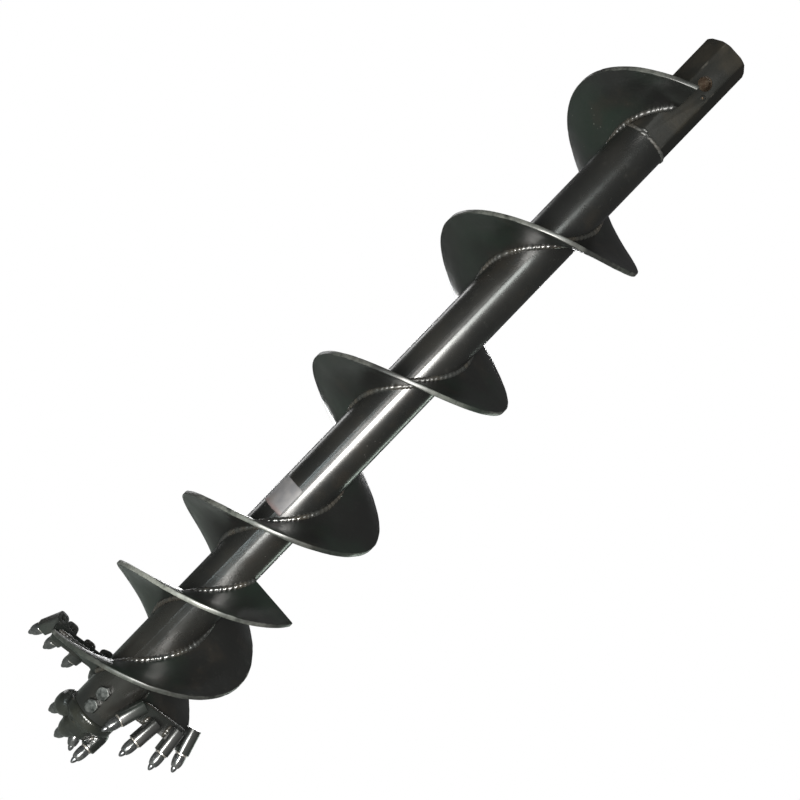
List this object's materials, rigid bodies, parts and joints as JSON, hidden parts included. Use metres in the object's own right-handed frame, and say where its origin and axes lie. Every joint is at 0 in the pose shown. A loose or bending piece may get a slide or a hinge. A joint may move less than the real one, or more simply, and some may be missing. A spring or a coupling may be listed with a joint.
{
  "type": "soil auger",
  "caption": "Rock-type soil auger: hex drive hub on a steel tube, right-hand helical flights, rotating bullet teeth on cutter bars and a bolted pilot.",
  "frame": {"origin": "centre of the drive hub's end face, at the mouth of its hex socket", "axes": "+Z along the auger's axis towards the drive machine, so the teeth are at -Z; Y runs along the hub's pin hole, with its front flat facing -Y"},
  "size_m": [0.2915, 0.2538, 1.406],
  "materials": {
    "paint": "gloss",
    "worn_paint": "satin",
    "steel": "satin",
    "bright_steel": "satin",
    "carbide": "satin",
    "zinc": "satin"
  },
  "bodies": {
    "auger": {"hex_drive_hub": "paint", "hub_set_screw": "steel", "shaft_tube": "paint", "main_flight": "paint", "lower_flight": "paint", "cutter_bar_A": "paint", "cutter_bar_B": "paint", "pilot_socket": "steel", "pilot_body": "paint", "pilot_bolt_upper": "zinc", "pilot_bolt_lower": "zinc", "pilot_nut_upper": "zinc", "pilot_nut_lower": "zinc", "tooth_holder_A1": "paint", "tooth_holder_A2": "paint", "tooth_holder_A3": "paint", "tooth_holder_A4": "paint", "tooth_holder_B1": "paint", "tooth_holder_B2": "paint", "tooth_holder_B3": "paint", "tooth_holder_B4": "paint", "retainer_sleeve_A1": "bright_steel", "retainer_sleeve_A2": "bright_steel", "retainer_sleeve_A3": "bright_steel", "retainer_sleeve_A4": "bright_steel", "retainer_sleeve_B1": "bright_steel", "retainer_sleeve_B2": "bright_steel", "retainer_sleeve_B3": "bright_steel", "retainer_sleeve_B4": "bright_steel", "retainer_sleeve_P1": "bright_steel", "retainer_sleeve_P2": "bright_steel", "retainer_sleeve_P3": "bright_steel", "retainer_sleeve_P4": "bright_steel"},
    "tooth_A1": {"bullet_tooth_A1": "worn_paint", "carbide_tip_A1": "carbide"},
    "tooth_A2": {"bullet_tooth_A2": "worn_paint", "carbide_tip_A2": "carbide"},
    "tooth_A3": {"bullet_tooth_A3": "worn_paint", "carbide_tip_A3": "carbide"},
    "tooth_A4": {"bullet_tooth_A4": "worn_paint", "carbide_tip_A4": "carbide"},
    "tooth_B1": {"bullet_tooth_B1": "worn_paint", "carbide_tip_B1": "carbide"},
    "tooth_B2": {"bullet_tooth_B2": "worn_paint", "carbide_tip_B2": "carbide"},
    "tooth_B3": {"bullet_tooth_B3": "worn_paint", "carbide_tip_B3": "carbide"},
    "tooth_B4": {"bullet_tooth_B4": "worn_paint", "carbide_tip_B4": "carbide"},
    "tooth_P1": {"bullet_tooth_P1": "worn_paint", "carbide_tip_P1": "carbide"},
    "tooth_P2": {"bullet_tooth_P2": "worn_paint", "carbide_tip_P2": "carbide"},
    "tooth_P3": {"bullet_tooth_P3": "worn_paint", "carbide_tip_P3": "carbide"},
    "tooth_P4": {"bullet_tooth_P4": "worn_paint", "carbide_tip_P4": "carbide"}
  },
  "joints": [
    {"name": "tooth_spin_A1", "type": "hinge", "parent": "auger", "child": "tooth_A1", "pos_m": [0.02797, -0.04728, -1.29541], "axis": [-0.3762, -0.4518, -0.809], "continuous": true},
    {"name": "tooth_spin_A2", "type": "hinge", "parent": "auger", "child": "tooth_A2", "pos_m": [0.06619, -0.04519, -1.30565], "axis": [-0.1901, -0.4485, -0.8733], "continuous": true},
    {"name": "tooth_spin_A3", "type": "hinge", "parent": "auger", "child": "tooth_A3", "pos_m": [0.10776, -0.03399, -1.29796], "axis": [0.0171, -0.4257, -0.9047], "continuous": true},
    {"name": "tooth_spin_A4", "type": "hinge", "parent": "auger", "child": "tooth_A4", "pos_m": [0.13281, -0.02279, -1.28394], "axis": [0.2067, -0.3881, -0.8981], "continuous": true},
    {"name": "tooth_spin_B1", "type": "hinge", "parent": "auger", "child": "tooth_B1", "pos_m": [-0.03193, 0.04842, -1.29933], "axis": [0.2322, 0.4507, -0.8619], "continuous": true},
    {"name": "tooth_spin_B2", "type": "hinge", "parent": "auger", "child": "tooth_B2", "pos_m": [-0.07149, 0.04404, -1.30527], "axis": [-0.0876, 0.4136, -0.9062], "continuous": true},
    {"name": "tooth_spin_B3", "type": "hinge", "parent": "auger", "child": "tooth_B3", "pos_m": [-0.11023, 0.03337, -1.29761], "axis": [-0.127, 0.4059, -0.9051], "continuous": true},
    {"name": "tooth_spin_B4", "type": "hinge", "parent": "auger", "child": "tooth_B4", "pos_m": [-0.13707, 0.02575, -1.29182], "axis": [-0.313, 0.3597, -0.879], "continuous": true},
    {"name": "tooth_spin_P1", "type": "hinge", "parent": "auger", "child": "tooth_P1", "pos_m": [-0.03835, 0.0214, -1.36281], "axis": [-0.212, 0.5615, -0.7998], "continuous": true},
    {"name": "tooth_spin_P2", "type": "hinge", "parent": "auger", "child": "tooth_P2", "pos_m": [-0.01143, 0.00842, -1.37929], "axis": [-0.0674, 0.519, -0.8521], "continuous": true},
    {"name": "tooth_spin_P3", "type": "hinge", "parent": "auger", "child": "tooth_P3", "pos_m": [0.00714, 0.02905, -1.38009], "axis": [0.3639, -0.2631, -0.8935], "continuous": true},
    {"name": "tooth_spin_P4", "type": "hinge", "parent": "auger", "child": "tooth_P4", "pos_m": [0.02757, -0.0131, -1.37101], "axis": [-0.1601, -0.4815, -0.8617], "continuous": true}
  ]
}
